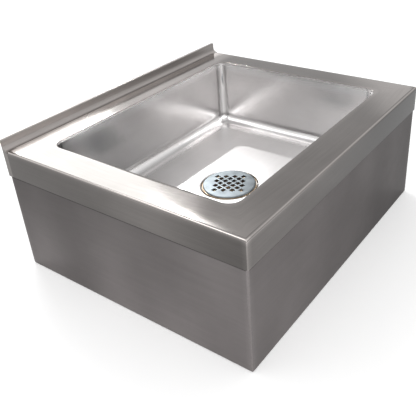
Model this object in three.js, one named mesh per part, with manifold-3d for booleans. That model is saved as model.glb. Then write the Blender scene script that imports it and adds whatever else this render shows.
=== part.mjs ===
// Floor-standing mop service sink in folded and welded stainless sheet, in millimetres, +Z up.
// The origin is on the floor under the middle of the whole object; -Y is the front, +Y the wall side.
import * as THREE from "three";
import { mergeVertices } from "three/addons/utils/BufferGeometryUtils.js";
import Module from "manifold-3d";

const wasm = await Module();
wasm.setup();

// ---------- Driving dimensions ----------

// Sheet and fits
const sheet = 1.5;
const seatGap = 0.3;

// Deck: one sheet with its front and side aprons folded down and its back edge turned up
const overallWidth = 635;
const deckDepth = 533.4;
const deckHeight = 254;
const apronHeight = 52;
const apronCorner = 2;
const upturnHeight = 21;
const upturnCove = 10;
const upturnReturn = 6.5;
const upturnDrop = 8;
const upturnBend = 1;

// Bowl: its opening is what the four deck margins leave
const deckLeft = 61;
const deckRight = 57;
const deckFront = 64;
const deckBack = 62;
const bowlDepth = 152.4;
const bowlCorner = 24;
const bowlCove = 22;
const bowlFlange = 15;
const bowlRimBend = 3;
const floorFall = 2;

// Drain recess pressed into the bowl's floor, round the drain's flange
const recessLip = 3.4;
const recessFillet = 1.6;
const recessClearance = 0.6;
const drainHoleClearance = 2;

// Skirt panels that stand on the floor and carry the deck, inside its bends
const topFlange = 20;
const footFlange = 25;
const skirtBend = 1.2;
const footBend = 1.5;
const skirtCorner = 4;

// Corner gussets on the skirt's foot flanges
const gussetLeg = 82;
const gussetNose = 12.5;
const gussetThickness = 3;
const anchorHole = 11;
const anchorInset = 37;

// Hat channels under the bowl's floor
const channelSpread = 300;
const channelCrown = 38;
const channelHeight = 20;
const channelFlange = 15;
const channelBend = 1.5;

// Drain, from the waste pipe that comes up into it outwards: gasket, throat, tail and flange
const pipeRadius = 30.15;
const outletClearance = 0.65;
const gasketClearance = 0.45;
const nutClearance = 0.85;
const pipeGasketWall = 3.1;
const pipeGasketHeight = 14;
const gasketLedge = 1.5;
const tailWall = 4;
const tailLength = 48;
const outletLip = 3;
const flangeMargin = 1.9;
const flangeThickness = 2.2;
const flangeSealThickness = 1;
const flangeSealInset = 1.5;

// Washers and nuts round the tail, and the ring nut over the gasket
const washerWidth = 14.5;
const washerThickness = 4;
const frictionWidth = 12.5;
const frictionThickness = 1.2;
const locknutWall = 8.5;
const locknutHeight = 9;
const lugReach = 7;
const lugWidth = 14;
const lugCount = 6;
const compressionNutHeight = 9;
const notchWidth = 8;
const notchDepth = 4;
const notchCount = 4;

// Strainer plate with a turned-down rim and a lattice of square holes
const strainerRadius = 55.3;
const strainerRim = 3;
const strainerThickness = 1.2;
const strainerBend = 1;
const latticePitch = 13;
const latticeHole = 8;
const latticeTurn = THREE.MathUtils.degToRad(-16);
const latticeReach = 3;

// Spring clips under the strainer
const clipCount = 2;
const clipWidth = 9;
const clipThickness = 0.8;
const clipTab = 13;
const clipLeg = 8;
const clipToe = 8;
const clipToeSlope = 3;
const clipBend = 0.6;
const clipClearance = 0.6;

// Facet counts
const roundSegments = 48;
const bendSteps = 3;
const coveSteps = 6;
const cornerSteps = 6;
const edgeSteps = 5;

// ---------- Sizes that follow ----------

const overallDepth = deckDepth + upturnReturn;
const yFront = -overallDepth / 2;
const yBack = yFront + deckDepth;
const xSide = overallWidth / 2;

const bowlLeft = -xSide + deckLeft;
const bowlRight = xSide - deckRight;
const bowlFront = yFront + deckFront;
const bowlRear = yBack - deckBack;
const bowlX = (bowlLeft + bowlRight) / 2;
const bowlY = (bowlFront + bowlRear) / 2;
const bowlHalfX = (bowlRight - bowlLeft) / 2;
const bowlHalfY = (bowlRear - bowlFront) / 2;

const outletRadius = pipeRadius + outletClearance;
const pipeGasketBore = pipeRadius + gasketClearance;
const compressionNutBore = pipeRadius + nutClearance;
const gasketBoreRadius = pipeGasketBore + pipeGasketWall + seatGap;
const throatRadius = gasketBoreRadius + gasketLedge;
const tailRadius = throatRadius + tailWall;
const washerRadius = tailRadius + washerWidth;
const frictionRadius = tailRadius + frictionWidth;
const locknutRadius = tailRadius + locknutWall;
const lugRadius = locknutRadius + lugReach;
const flangeRadius = strainerRadius + flangeMargin;

const drainHoleRadius = tailRadius + drainHoleClearance;
const recessFlat = flangeRadius + recessClearance;
const recessRadius = recessFlat + recessFillet + recessLip;
const drainFloor = -bowlDepth - floorFall;
const recessFloor = drainFloor - recessLip - recessFillet;

const skirtInset = sheet + seatGap;
const skirtTop = deckHeight - sheet - seatGap;
const deckBend = skirtBend + 2 * sheet + seatGap;

// ---------- Solids ----------

// A closed geometry as a solid that can be joined and cut.
function solid(geometry) {
  const bare = geometry.clone();
  bare.deleteAttribute("normal");
  bare.deleteAttribute("uv");
  const merged = mergeVertices(bare, 1e-4);
  return new wasm.Manifold(
    new wasm.Mesh({
      numProp: 3,
      vertProperties: new Float32Array(merged.attributes.position.array),
      triVerts: new Uint32Array(merged.index.array),
    }),
  );
}

function geometryOf(manifold) {
  const { vertProperties, triVerts } = manifold.getMesh();
  return new THREE.BufferGeometry()
    .setAttribute("position", new THREE.BufferAttribute(vertProperties, 3))
    .setIndex(new THREE.BufferAttribute(triVerts, 1));
}

// A flat outline in XY as a prism between two heights.
function prism(shape, zLow, zHigh, curveSegments = bendSteps) {
  const geometry = new THREE.ExtrudeGeometry(shape, {
    depth: zHigh - zLow,
    bevelEnabled: false,
    curveSegments,
  });
  return solid(geometry.translate(0, 0, zLow));
}

// An outline in (y, z) extruded along X, or in (x, z) extruded along Y.
const alongX = new THREE.Matrix4().makeBasis(
  new THREE.Vector3(0, 1, 0),
  new THREE.Vector3(0, 0, 1),
  new THREE.Vector3(1, 0, 0),
);
const alongY = new THREE.Matrix4().makeBasis(
  new THREE.Vector3(1, 0, 0),
  new THREE.Vector3(0, 0, 1),
  new THREE.Vector3(0, -1, 0),
);

function barAlongX(shape, xLow, xHigh) {
  const geometry = new THREE.ExtrudeGeometry(shape, {
    depth: xHigh - xLow,
    bevelEnabled: false,
    curveSegments: bendSteps,
  });
  return solid(geometry.applyMatrix4(alongX).translate(xLow, 0, 0));
}

function barAlongY(shape, yLow, yHigh) {
  const geometry = new THREE.ExtrudeGeometry(shape, {
    depth: yHigh - yLow,
    bevelEnabled: false,
    curveSegments: bendSteps,
  });
  return solid(geometry.applyMatrix4(alongY).translate(0, yHigh, 0));
}

// A closed outline of [radius, height] points, anticlockwise, revolved about Z.
function revolve(outline, segments = roundSegments) {
  const points = [...outline, outline[0]].map(([r, z]) => new THREE.Vector2(r, z));
  return solid(new THREE.LatheGeometry(points, segments).rotateX(Math.PI / 2));
}

// Points of a circular arc, from one angle in degrees to another.
function arc(cx, cy, radius, from, to, steps = bendSteps) {
  return Array.from({ length: steps + 1 }, (_, i) => {
    const angle = THREE.MathUtils.degToRad(from + ((to - from) * i) / steps);
    return [cx + radius * Math.cos(angle), cy + radius * Math.sin(angle)];
  });
}

function shapeOf(points) {
  return new THREE.Shape(points.map(([x, y]) => new THREE.Vector2(x, y)));
}

// The section of a bent sheet: the middle line runs through the corners, and each inner corner is
// bent to its own inside radius.
function bentSheet(corners, insideRadii, thickness, steps = bendSteps) {
  const line = corners.map(([x, y]) => new THREE.Vector2(x, y));
  const left = [];
  const right = [];
  const half = thickness / 2;
  const put = (point, normal) => {
    left.push([point.x + half * normal.x, point.y + half * normal.y]);
    right.push([point.x - half * normal.x, point.y - half * normal.y]);
  };
  const normalTo = (d) => new THREE.Vector2(-d.y, d.x);
  line.forEach((corner, i) => {
    const before = i > 0 ? corner.clone().sub(line[i - 1]).normalize() : null;
    const after = i < line.length - 1 ? line[i + 1].clone().sub(corner).normalize() : null;
    if (!before || !after) {
      put(corner, normalTo(before ?? after));
      return;
    }
    const turn = Math.atan2(before.cross(after), before.dot(after));
    const radius = insideRadii[i - 1] + half;
    const start = corner.clone().addScaledVector(before, -radius * Math.tan(Math.abs(turn) / 2));
    const centre = start.clone().addScaledVector(normalTo(before), radius * Math.sign(turn));
    for (let k = 0; k <= steps; k++) {
      const spin = (turn * k) / steps;
      const point = start.clone().rotateAround(centre, spin);
      put(point, normalTo(before.clone().rotateAround(new THREE.Vector2(), spin)));
    }
  });
  return shapeOf([...right, ...left.reverse()]);
}

// A rounded rectangle as a shape.
function roundedRectangle(xLow, xHigh, yLow, yHigh, radius) {
  return new THREE.Shape()
    .moveTo(xLow + radius, yLow)
    .lineTo(xHigh - radius, yLow)
    .absarc(xHigh - radius, yLow + radius, radius, -Math.PI / 2, 0)
    .lineTo(xHigh, yHigh - radius)
    .absarc(xHigh - radius, yHigh - radius, radius, 0, Math.PI / 2)
    .lineTo(xLow + radius, yHigh)
    .absarc(xLow + radius, yHigh - radius, radius, Math.PI / 2, Math.PI)
    .lineTo(xLow, yLow + radius)
    .absarc(xLow + radius, yLow + radius, radius, Math.PI, 1.5 * Math.PI);
}

// ---------- Deck ----------

function makeDeck() {
  const outerAcross = shapeOf([
    [-xSide, -apronHeight],
    [xSide, -apronHeight],
    ...arc(xSide - deckBend, -deckBend, deckBend, 0, 90),
    ...arc(-xSide + deckBend, -deckBend, deckBend, 90, 180),
  ]);
  const outerAlong = shapeOf([
    [yFront, -apronHeight],
    [yBack, -apronHeight],
    [yBack, 0],
    ...arc(yFront + deckBend, -deckBend, deckBend, 90, 180),
  ]);
  const below = -apronHeight - sheet;
  const innerAcross = shapeOf([
    [-xSide + sheet, below],
    [xSide - sheet, below],
    ...arc(xSide - deckBend, -deckBend, deckBend - sheet, 0, 90),
    ...arc(-xSide + deckBend, -deckBend, deckBend - sheet, 90, 180),
  ]);
  const innerAlong = shapeOf([
    [yFront + sheet, below],
    [yBack + sheet, below],
    [yBack + sheet, -sheet],
    ...arc(yFront + deckBend, -deckBend, deckBend - sheet, 90, 180),
  ]);
  const plan = roundedRectangle(-xSide, xSide, yFront, yBack + apronCorner, apronCorner);
  const outside = barAlongY(outerAcross, yFront, yBack)
    .intersect(barAlongX(outerAlong, -xSide, xSide))
    .intersect(prism(plan, -apronHeight, 0));
  const inside = barAlongY(innerAcross, yFront, yBack + sheet).intersect(
    barAlongX(innerAlong, -xSide, xSide),
  );

  // The back edge sweeps up on a cove, runs up the wall and turns back and down behind.
  const coveStart = yBack - sheet - upturnCove;
  const upturn = bentSheet(
    [
      [coveStart - seatGap, -sheet / 2],
      [yBack - sheet / 2, -sheet / 2],
      [yBack - sheet / 2, upturnHeight - sheet / 2],
      [yBack + upturnReturn - sheet / 2, upturnHeight - sheet / 2],
      [yBack + upturnReturn - sheet / 2, upturnHeight - upturnDrop],
    ],
    [upturnCove, upturnBend, upturnBend],
    sheet,
    coveSteps,
  );
  const underCove = shapeOf([
    [coveStart, -sheet - seatGap],
    [yBack + sheet, -sheet - seatGap],
    [yBack + sheet, upturnCove],
    ...arc(coveStart, upturnCove, upturnCove + sheet, 0, -90, coveSteps),
  ]);
  const endFill = shapeOf([
    [coveStart, -deckBend - sheet],
    [yBack, -deckBend - sheet],
    ...arc(coveStart, upturnCove, upturnCove + sheet / 2, 0, -90, coveSteps),
  ]);
  const opening = prism(
    roundedRectangle(bowlLeft, bowlRight, bowlFront, bowlRear, bowlCorner),
    -2 * sheet,
    sheet,
    cornerSteps,
  );
  return outside
    .subtract(inside)
    .subtract(barAlongX(underCove, -xSide + sheet, xSide - sheet))
    .add(barAlongX(upturn, -xSide, xSide))
    .add(barAlongX(endFill, -xSide, -xSide + sheet))
    .add(barAlongX(endFill, xSide - sheet, xSide))
    .subtract(opening);
}

// ---------- Bowl ----------

// Plan outline of the bowl, drawn in by `inset` from the inner face of its walls, at height z.
function bowlRing(inset, z) {
  const radius = bowlCorner - inset;
  const cx = bowlHalfX - bowlCorner;
  const cy = bowlHalfY - bowlCorner;
  const quadrants = [
    [cx, cy, 0],
    [-cx, cy, 90],
    [-cx, -cy, 180],
    [cx, -cy, 270],
  ];
  const corners = quadrants.map(([x, y, from]) => arc(x, y, radius, from, from + 90, cornerSteps));
  return corners.flatMap((corner, i) => {
    const start = corner.at(-1);
    const end = corners[(i + 1) % 4][0];
    const between = Array.from({ length: edgeSteps - 1 }, (_, k) => {
      const t = (k + 1) / edgeSteps;
      return [start[0] + (end[0] - start[0]) * t, start[1] + (end[1] - start[1]) * t];
    });
    return [...corner, ...between];
  }).map(([x, y]) => [x, y, z]);
}

// A circle about the drain, as evenly stepped as the bowl's outline has points, with the middle of
// each corner of that outline facing its own diagonal.
function drainRing(radius, z) {
  const count = 4 * (cornerSteps + edgeSteps);
  const first = 45 - (cornerSteps / 2) * (360 / count);
  return arc(0, 0, radius, first, first + 360, count)
    .slice(0, count)
    .map(([x, y]) => [x, y, z]);
}

// Rings of equal length joined each to the next, and the last back to the first.
function loft(rings) {
  const count = rings[0].length;
  const index = [];
  rings.forEach((_, i) => {
    const next = (i + 1) % rings.length;
    for (let k = 0; k < count; k++) {
      const a = i * count + k;
      const b = i * count + ((k + 1) % count);
      const c = next * count + k;
      const d = next * count + ((k + 1) % count);
      index.push(a, b, d, a, d, c);
    }
  });
  const positions = new Float32Array(rings.flat(2));
  const geometry = new THREE.BufferGeometry()
    .setAttribute("position", new THREE.BufferAttribute(positions, 3))
    .setIndex(index);
  return solid(geometry);
}

function makeBowl() {
  const rimTop = -sheet - seatGap;
  const face = (lift) => [
    ...arc(-bowlRimBend, rimTop - bowlRimBend, bowlRimBend - lift, 90, 0),
    ...arc(bowlCove, -bowlDepth + bowlCove, bowlCove + lift, 180, 270, coveSteps),
  ];
  const recess = (lift) => [
    ...arc(recessRadius, drainFloor - recessLip, recessLip - lift, 90, 180),
    ...arc(recessFlat, recessFloor + recessFillet, recessFillet + lift, 0, -90),
    [drainHoleRadius, recessFloor - lift],
  ];
  const ringsOf = (lift) => [
    bowlRing(-bowlFlange, rimTop - lift),
    ...face(lift).map(([inset, z]) => bowlRing(inset, z)),
    ...recess(lift).map(([radius, z]) => drainRing(radius, z)),
  ];
  return loft([...ringsOf(0), ...ringsOf(sheet).reverse()]);
}

// Height of the underside of the bowl's floor beside the drain, `reach` along X from its axis.
function floorUndersideAt(reach) {
  const edge = bowlHalfX - bowlCove;
  const share = THREE.MathUtils.clamp((edge - reach) / (edge - recessRadius), 0, 1);
  return deckHeight - bowlDepth - floorFall * share - sheet;
}

// ---------- Skirt ----------

// A panel of the given length, its outer face on y = 0 and inwards along +Y, mitred at both ends.
function makeSkirtPanel(length) {
  const half = length / 2;
  const section = bentSheet(
    [
      [footFlange, sheet / 2],
      [sheet / 2, sheet / 2],
      [sheet / 2, skirtTop - sheet / 2],
      [topFlange, skirtTop - sheet / 2],
    ],
    [footBend, skirtBend],
    sheet,
  );
  const deep = Math.max(footFlange, topFlange) + sheet;
  const mitreGap = seatGap / Math.SQRT2;
  const mitre = shapeOf([
    [-half + mitreGap - sheet, -sheet],
    [half - mitreGap + sheet, -sheet],
    [half - mitreGap - deep, deep],
    [-half + mitreGap + deep, deep],
  ]);
  const rounded = roundedRectangle(-half, half, 0, length, skirtCorner);
  return barAlongX(section, -half, half)
    .intersect(prism(mitre, -sheet, deckHeight))
    .intersect(prism(rounded, -sheet, deckHeight));
}

// A corner plate with its legs along +X and +Y from the skirt's outer corner at the origin.
function makeGusset() {
  const start = sheet + footBend + seatGap;
  const outline = shapeOf([
    [start, start],
    [gussetLeg, start],
    [gussetLeg, start + gussetNose],
    [start + gussetNose, gussetLeg],
    [start, gussetLeg],
  ]);
  const hole = new THREE.Path();
  hole.absarc(anchorInset, anchorInset, anchorHole / 2, 0, 2 * Math.PI);
  outline.holes.push(hole);
  return prism(outline, sheet + seatGap, sheet + seatGap + gussetThickness, 4 * bendSteps);
}

function makeChannel() {
  const inner = channelCrown / 2 - sheet / 2;
  const outer = inner + channelFlange;
  const low = -channelHeight + sheet / 2;
  const section = bentSheet(
    [
      [-outer, -sheet / 2],
      [-inner, -sheet / 2],
      [-inner, low],
      [inner, low],
      [inner, -sheet / 2],
      [outer, -sheet / 2],
    ],
    [channelBend, channelBend, channelBend, channelBend],
    sheet,
  );
  const end = skirtInset + sheet + seatGap;
  return barAlongY(section, yFront + end, yBack - end);
}

// ---------- Drain, with z = 0 on the recess floor ----------

const sealRadius = flangeRadius - flangeSealInset;
const sealLow = seatGap;
const sealTop = sealLow + flangeSealThickness;
const flangeLow = sealTop + seatGap;
const flangeTop = flangeLow + flangeThickness;
const tailEnd = -sheet - tailLength;
const plateLow = flangeTop + seatGap;
const plateTop = plateLow + strainerRim;
const borePast = tailRadius + seatGap;
const washerTop = -sheet - seatGap;
const washerLow = washerTop - washerThickness;
const frictionTop = washerLow - seatGap;
const frictionLow = frictionTop - frictionThickness;
const locknutTop = frictionLow - seatGap;
const pipeGasketRadius = gasketBoreRadius - seatGap;
const pipeGasketLow = tailEnd + outletLip + seatGap;
const gasketBoreTop = pipeGasketLow + pipeGasketHeight;
const nutLow = gasketBoreTop + seatGap;

function ring(inner, outer, zLow, zHigh) {
  return revolve([
    [inner, zLow],
    [outer, zLow],
    [outer, zHigh],
    [inner, zHigh],
  ]);
}

function makeDrainBody() {
  const bevel = flangeThickness / 2;
  return revolve([
    [outletRadius, tailEnd],
    [tailRadius, tailEnd],
    [tailRadius, flangeLow],
    [flangeRadius, flangeLow],
    [flangeRadius, flangeTop - bevel],
    [flangeRadius - bevel, flangeTop],
    [throatRadius + bevel, flangeTop],
    [throatRadius, flangeTop - bevel],
    [throatRadius, gasketBoreTop],
    [gasketBoreRadius, gasketBoreTop - bevel],
    [gasketBoreRadius, tailEnd + outletLip],
    [outletRadius, tailEnd + outletLip],
  ]);
}

// A round nut with straight-sided lugs for a spanner.
function makeLocknut() {
  const low = locknutTop - locknutHeight;
  const nut = ring(borePast, locknutRadius, low, locknutTop);
  const root = (tailRadius + locknutRadius) / 2;
  const lug = new THREE.BoxGeometry(lugRadius - root, lugWidth, locknutHeight);
  lug.translate((lugRadius + root) / 2, 0, locknutTop - locknutHeight / 2);
  return Array.from({ length: lugCount }, (_, i) =>
    solid(lug.clone().rotateZ((2 * Math.PI * i) / lugCount)),
  ).reduce((all, one) => all.add(one), nut);
}

// The ring nut inside the throat, notched on top for its key.
function makeCompressionNut() {
  const outer = throatRadius - seatGap;
  const top = nutLow + compressionNutHeight;
  const nut = ring(compressionNutBore, outer, nutLow, top);
  const notch = new THREE.BoxGeometry(throatRadius, notchWidth, 2 * notchDepth);
  notch.translate(throatRadius, 0, top);
  return Array.from({ length: notchCount }, (_, i) =>
    solid(notch.clone().rotateZ((2 * Math.PI * i) / notchCount)),
  ).reduce((all, one) => all.subtract(one), nut);
}

// A stamped disc with a turned-down rim; the holes fill a square standing on its corner.
function makeStrainer() {
  const outerBend = strainerBend + strainerThickness;
  const underside = plateTop - strainerThickness;
  const disc = revolve([
    [0, underside],
    ...arc(strainerRadius - outerBend, plateTop - outerBend, strainerBend, 90, 0),
    [strainerRadius - strainerThickness, plateLow],
    [strainerRadius, plateLow],
    ...arc(strainerRadius - outerBend, plateTop - outerBend, outerBend, 0, 90),
    [0, plateTop],
  ]);
  const punch = new THREE.BoxGeometry(latticeHole, latticeHole, 2 * strainerRim);
  let plate = disc;
  for (let i = -latticeReach; i <= latticeReach; i++) {
    for (let j = -latticeReach; j <= latticeReach; j++) {
      if (Math.abs(i + j) > latticeReach || Math.abs(i - j) > latticeReach) continue;
      const hole = punch
        .clone()
        .translate(i * latticePitch, j * latticePitch, plateTop)
        .rotateZ(latticeTurn);
      plate = plate.subtract(solid(hole));
    }
  }
  return plate;
}

// A strip that lies under the plate's blank rim, turns down into the throat and tucks in at its toe.
function makeClip() {
  const tabZ = plateTop - strainerThickness - seatGap - clipThickness / 2;
  const legR = throatRadius - clipClearance - clipThickness / 2;
  const section = bentSheet(
    [
      [legR + clipTab, tabZ],
      [legR, tabZ],
      [legR, tabZ - clipLeg],
      [legR - clipToeSlope, tabZ - clipLeg - clipToe],
    ],
    [clipBend, clipBend],
    clipThickness,
  );
  return barAlongY(section, -clipWidth / 2, clipWidth / 2);
}

// ---------- Assembly ----------

const stainless = { color: 0x9b9893, roughness: 0.28, metalness: 1 };
const stampedStainless = { color: 0xa7b0ba, roughness: 0.42, metalness: 1 };
const brass = { color: 0xb08a4a, roughness: 0.35, metalness: 1 };
const rubber = { color: 0x1d1d1c, roughness: 0.8, metalness: 0 };
const fibre = { color: 0x8a7a62, roughness: 0.9, metalness: 0 };

function piece(name, manifold, finish) {
  const mesh = new THREE.Mesh(geometryOf(manifold), new THREE.MeshStandardMaterial(finish));
  mesh.name = name;
  return mesh;
}

const top = new THREE.Group();
top.position.z = deckHeight;
const bowl = piece("bowl", makeBowl(), stainless);
bowl.position.set(bowlX, bowlY, 0);
top.add(piece("deck", makeDeck(), stainless), bowl);

const skirt = new THREE.Group();
const skirtX = xSide - skirtInset;
const skirtFront = yFront + skirtInset;
const skirtBack = yBack - skirtInset;
const middleY = (skirtFront + skirtBack) / 2;
const acrossPanel = makeSkirtPanel(2 * skirtX);
const alongPanel = makeSkirtPanel(skirtBack - skirtFront);
const panels = [
  ["front_skirt", acrossPanel, 0, skirtFront, 0],
  ["right_skirt", alongPanel, skirtX, middleY, Math.PI / 2],
  ["back_skirt", acrossPanel, 0, skirtBack, Math.PI],
  ["left_skirt", alongPanel, -skirtX, middleY, -Math.PI / 2],
];
for (const [name, panel, x, y, turn] of panels) {
  const mesh = piece(name, panel, stainless);
  mesh.position.set(x, y, 0);
  mesh.rotation.z = turn;
  skirt.add(mesh);
}

const gusset = makeGusset();
const corners = [
  ["gusset_front_left", -skirtX, skirtFront, 0],
  ["gusset_front_right", skirtX, skirtFront, Math.PI / 2],
  ["gusset_back_right", skirtX, skirtBack, Math.PI],
  ["gusset_back_left", -skirtX, skirtBack, -Math.PI / 2],
];
for (const [name, x, y, turn] of corners) {
  const mesh = piece(name, gusset, stainless);
  mesh.position.set(x, y, 0);
  mesh.rotation.z = turn;
  skirt.add(mesh);
}

const channel = makeChannel();
const channelReach = channelSpread / 2 - channelCrown / 2 - channelFlange;
for (const [name, side] of [["left_channel", -1], ["right_channel", 1]]) {
  const mesh = piece(name, channel, stainless);
  mesh.position.set(bowlX + (side * channelSpread) / 2, 0, floorUndersideAt(channelReach) - seatGap);
  skirt.add(mesh);
}

const drain = new THREE.Group();
drain.position.set(bowlX, bowlY, deckHeight + recessFloor);
const seal = ring(borePast, sealRadius, sealLow, sealTop);
const softWasher = ring(borePast, washerRadius, washerLow, washerTop);
const fibreWasher = ring(borePast, frictionRadius, frictionLow, frictionTop);
const pipeGasket = ring(pipeGasketBore, pipeGasketRadius, pipeGasketLow, gasketBoreTop);
drain.add(
  piece("flange_seal", seal, rubber),
  piece("drain_body", makeDrainBody(), brass),
  piece("rubber_washer", softWasher, rubber),
  piece("friction_washer", fibreWasher, fibre),
  piece("locknut", makeLocknut(), brass),
  piece("pipe_gasket", pipeGasket, rubber),
  piece("compression_nut", makeCompressionNut(), brass),
);

const strainer = new THREE.Group();
strainer.add(piece("strainer_plate", makeStrainer(), stampedStainless));
const clip = makeClip();
for (let i = 0; i < clipCount; i++) {
  const mesh = piece("strainer_clip_" + (i + 1), clip, stampedStainless);
  mesh.rotation.z = latticeTurn + Math.PI / 4 + (2 * Math.PI * i) / clipCount;
  strainer.add(mesh);
}
drain.add(strainer);

const sink = new THREE.Group();
sink.add(top, skirt, drain);

export default sink;
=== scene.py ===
"""Looks of a floor-standing mop service sink in folded and welded stainless sheet.

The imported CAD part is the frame. Fine surfaces replace its faceted sheets, and every node has a
procedural material. All lengths are in metres, +Z up, the front at -Y and the wall at +Y.
"""

import math

import bmesh
import bpy
import numpy as np
from bpy.props import FloatProperty, FloatVectorProperty, IntProperty, PointerProperty
from mathutils import Matrix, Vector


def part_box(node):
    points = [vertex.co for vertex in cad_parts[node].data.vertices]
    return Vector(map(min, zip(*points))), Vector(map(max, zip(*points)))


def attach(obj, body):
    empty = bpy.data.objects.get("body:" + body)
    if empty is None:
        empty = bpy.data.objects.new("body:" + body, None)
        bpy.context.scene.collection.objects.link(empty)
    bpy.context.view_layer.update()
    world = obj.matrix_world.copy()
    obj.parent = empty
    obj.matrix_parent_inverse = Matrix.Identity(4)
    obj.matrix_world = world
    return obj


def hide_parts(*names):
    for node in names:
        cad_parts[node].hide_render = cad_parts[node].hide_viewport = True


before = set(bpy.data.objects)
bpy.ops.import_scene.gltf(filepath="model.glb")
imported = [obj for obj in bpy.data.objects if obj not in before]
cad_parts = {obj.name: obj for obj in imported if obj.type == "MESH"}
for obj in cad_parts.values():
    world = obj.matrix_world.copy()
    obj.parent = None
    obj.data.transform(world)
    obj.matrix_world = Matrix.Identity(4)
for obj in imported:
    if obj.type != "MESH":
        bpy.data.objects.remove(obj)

bl_info = {
    "name": "Mop Service Sink",
    "version": (1, 0, 0),
    "blender": (4, 5, 0),
    "location": "3D Viewport > Sidebar > Sink",
    "description": "Builds the fine sheets, drain and strainer of a mop service sink round its CAD frame",
    "category": "Object",
}

DECK_LOW, DECK_HIGH = (np.array(corner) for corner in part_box("deck"))
BOWL_LOW, BOWL_HIGH = (np.array(corner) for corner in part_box("bowl"))
PLATE_LOW, PLATE_HIGH = (np.array(corner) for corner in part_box("strainer_plate"))
DRAIN_LOW, DRAIN_HIGH = (np.array(corner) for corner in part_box("drain_body"))
AXIS = (DRAIN_LOW[:2] + DRAIN_HIGH[:2]) / 2  # The drain's axis in plan.

# A rectangle's sides in order, the way out of each, and the way in from the corner where each starts.
FRONT, RIGHT, BACK, LEFT = range(4)
OUTWARD = np.array([(0, -1), (1, 0), (0, 1), (-1, 0)])
INWARD = np.array([(1, 1), (-1, 1), (-1, -1), (1, -1)])

PLAIN = {"dressed": 0.0, "tone": 1.0, "matt": 0.0}  # The layers of plain metal.
SHARP = math.radians(35)  # Edges that turn more than this are shaded sharp.
LEAD = 0.001  # Flat that each of the deck's bends has before it starts.
SHEET_GAP = 0.0003  # Between the deck and the bowl's flange.
BEND_STEPS = 8  # Quads round a folded sheet's bend.
CELL_STEPS = 12  # Quads along the side of a strainer's cell.

# Rows of the bowl's grid, from the flange's edge to the drain hole.
RIM_ROWS, WALL_ROWS, COVE_ROWS, FLOOR_ROWS = 11, 22, 16, 39
COVE_START = RIM_ROWS + WALL_ROWS
FLOOR_START = COVE_START + COVE_ROWS
RECESS_START = FLOOR_START + FLOOR_ROWS

WHITE = (1.0, 1.0, 1.0, 1.0)
LIT_POINT = np.array([0.0, 0.0, 0.2])  # Where all lamps point.


# ---------- Sizes and colours that a user would change ----------


def length(name, description, default):
    """A length in metres."""
    return FloatProperty(name=name, description=description, default=default, min=0.0, unit="LENGTH")


def level(name, description, default):
    """A strength of light."""
    return FloatProperty(name=name, description=description, default=default, min=0.0)


def colour(name, description, default):
    """A linear colour."""
    return FloatVectorProperty(
        name=name, description=description, default=default, size=3, min=0.0, max=1.0, subtype="COLOR"
    )


class DeckSizes(bpy.types.PropertyGroup):
    """Sizes of the deck, its aprons and its upturn."""

    sheet: length("Sheet", "Thickness of the stainless sheet", 0.0015)
    bend: length("Edge bend", "Outer radius of the bend from deck to apron", 0.0045)
    apron: length("Apron", "Height of the apron below the deck", 0.052)
    apron_corner: length("Apron corner", "Radius of the ground corner between two aprons", 0.002)
    upturn: length("Upturn", "Height of the edge turned up against the wall", 0.021)
    cove: length("Upturn cove", "Inside radius of the cove from deck to upturn", 0.010)
    turn_back: length("Turn back", "Depth of the hem behind the upturn", 0.0065)
    turn_down: length("Turn down", "Height of the hem's lip behind the upturn", 0.008)
    opening_edge: length("Opening edge", "Radius of the dressed edge round the bowl", 0.0011)


class BowlSizes(bpy.types.PropertyGroup):
    """Sizes of the bowl and of its drain recess."""

    flange: length("Flange", "Width of the flange under the deck", 0.015)
    rim_bend: length("Rim bend", "Radius of the bend from flange to wall", 0.003)
    corner: length("Corner", "Radius of the bowl's upright corners", 0.024)
    cove: length("Cove", "Radius between walls and floor", 0.022)
    depth: length("Depth", "Depth from the deck to the floor beside the walls", 0.1524)
    fall: length("Fall", "Fall of the floor towards the drain", 0.002)
    recess_lip: length("Recess lip", "Radius of the pressed recess's upper edge", 0.0034)
    recess_fillet: length("Recess fillet", "Radius at the foot of the pressed recess", 0.0016)
    recess_flat: length("Recess flat", "Radius of the recess's flat floor", 0.0578)
    drain_hole: length("Drain hole", "Radius of the hole for the drain", 0.0415)
    ripple: length("Ripple", "How far the drawn sheet waves out of true", 0.0005)


class SkirtSizes(bpy.types.PropertyGroup):
    """Sizes of the four skirt panels."""

    top_flange: length("Top flange", "Depth of the flange under the deck", 0.020)
    foot_flange: length("Foot flange", "Depth of the flange on the floor", 0.025)
    bend: length("Top bend", "Inside radius of the top bend", 0.0012)
    foot_bend: length("Foot bend", "Inside radius of the foot bend", 0.0015)
    corner: length("Corner", "Outer radius of the welded corner", 0.003)
    ripple: length("Ripple", "How far a panel waves out of flat", 0.0006)


class StrainerSizes(bpy.types.PropertyGroup):
    """Sizes of the strainer plate and its square holes."""

    thickness: length("Thickness", "Thickness of the plate", 0.0012)
    bend: length("Rim bend", "Inside radius of the turned-down rim", 0.001)
    pitch: length("Pitch", "Distance between two holes", 0.013)
    hole: length("Hole", "Side of a square hole", 0.0092)
    hole_corner: length("Hole corner", "Radius of a hole's corner", 0.0007)
    roll: length("Rolled edge", "Radius that the punch leaves round a hole", 0.00035)
    reach: IntProperty(name="Reach", description="Holes from the middle to a corner", default=3, min=1)
    turn: FloatProperty(
        name="Turn", description="Turn of the lattice on the drain", default=math.radians(-16), subtype="ANGLE"
    )


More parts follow.
